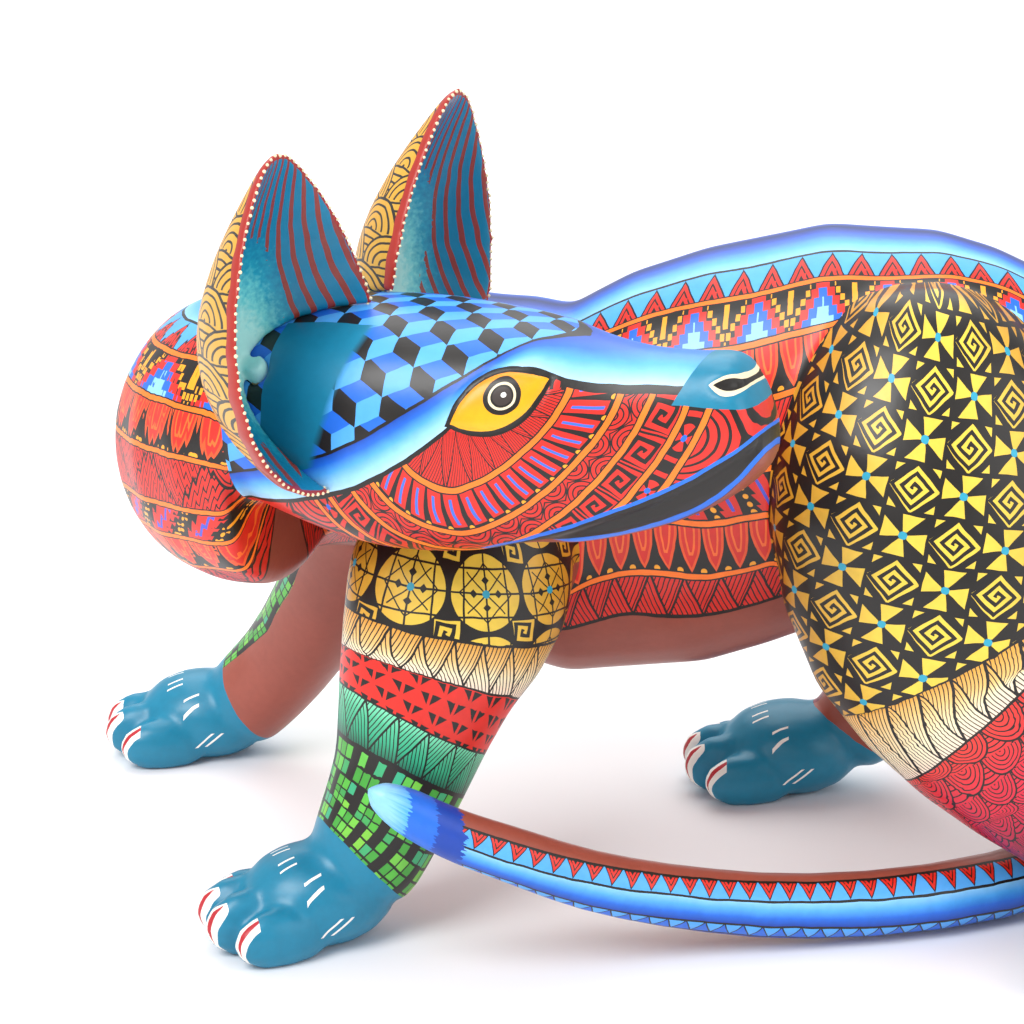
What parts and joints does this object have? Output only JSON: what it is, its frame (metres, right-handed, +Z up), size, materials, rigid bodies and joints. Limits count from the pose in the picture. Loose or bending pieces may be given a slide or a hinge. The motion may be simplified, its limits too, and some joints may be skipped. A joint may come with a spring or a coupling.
{
  "type": "alebrije figure",
  "caption": "Carved and hand-painted wooden animal standing on its paws with its head turned back over its flank and its long tail swept forward along the ground.",
  "frame": {"origin": "middle of the figure's footprint, on the surface that it stands on", "axes": "+Z up, +X along the body from the chest to the rump, +Y towards the animal's right side, away from the turned-back head"},
  "size_m": [0.3695, 0.241, 0.2547],
  "materials": {
    "painted_body": "hand-painted satin acrylic, red and orange bands with blue, on sanded copal wood",
    "painted_head": "hand-painted satin acrylic, blue crown and red cheeks, on sanded copal wood",
    "painted_ear": "hand-painted satin acrylic, turquoise inside and ochre behind, on sanded copal wood",
    "painted_leg": "hand-painted satin acrylic, gold figures on black above and teal paws, on sanded copal wood",
    "painted_tail": "hand-painted satin acrylic, graded blues with red triangles, on sanded copal wood",
    "bare_dowel": "unpainted turned hardwood dowel"
  },
  "bodies": {
    "root": {"torso": "painted_body", "neck": "painted_body", "head": "painted_head", "left_foreleg": "painted_leg", "right_foreleg": "painted_leg", "left_hind_leg": "painted_leg", "right_hind_leg": "painted_leg", "left_foreleg_dowel_1": "bare_dowel", "left_foreleg_dowel_2": "bare_dowel", "right_foreleg_dowel_1": "bare_dowel", "right_foreleg_dowel_2": "bare_dowel", "left_hind_leg_dowel_1": "bare_dowel", "left_hind_leg_dowel_2": "bare_dowel", "right_hind_leg_dowel_1": "bare_dowel", "right_hind_leg_dowel_2": "bare_dowel", "neck_dowel_1": "bare_dowel", "neck_dowel_2": "bare_dowel", "head_dowel_1": "bare_dowel", "head_dowel_2": "bare_dowel"},
    "right_ear": {"right_ear": "painted_ear"},
    "left_ear": {"left_ear": "painted_ear"},
    "tail": {"tail": "painted_tail"}
  },
  "joints": [
    {"name": "right_ear_pull", "type": "slide", "parent": "root", "child": "right_ear", "axis": [-0.3222, -0.423, 0.8469], "range_m": [0, 0.013]},
    {"name": "left_ear_pull", "type": "slide", "parent": "root", "child": "left_ear", "axis": [0.1042, 0.5214, 0.8469], "range_m": [0, 0.013]},
    {"name": "tail_pull", "type": "slide", "parent": "root", "child": "tail", "axis": [0.9798, 0, 0.2], "range_m": [0, 0.016]}
  ]
}
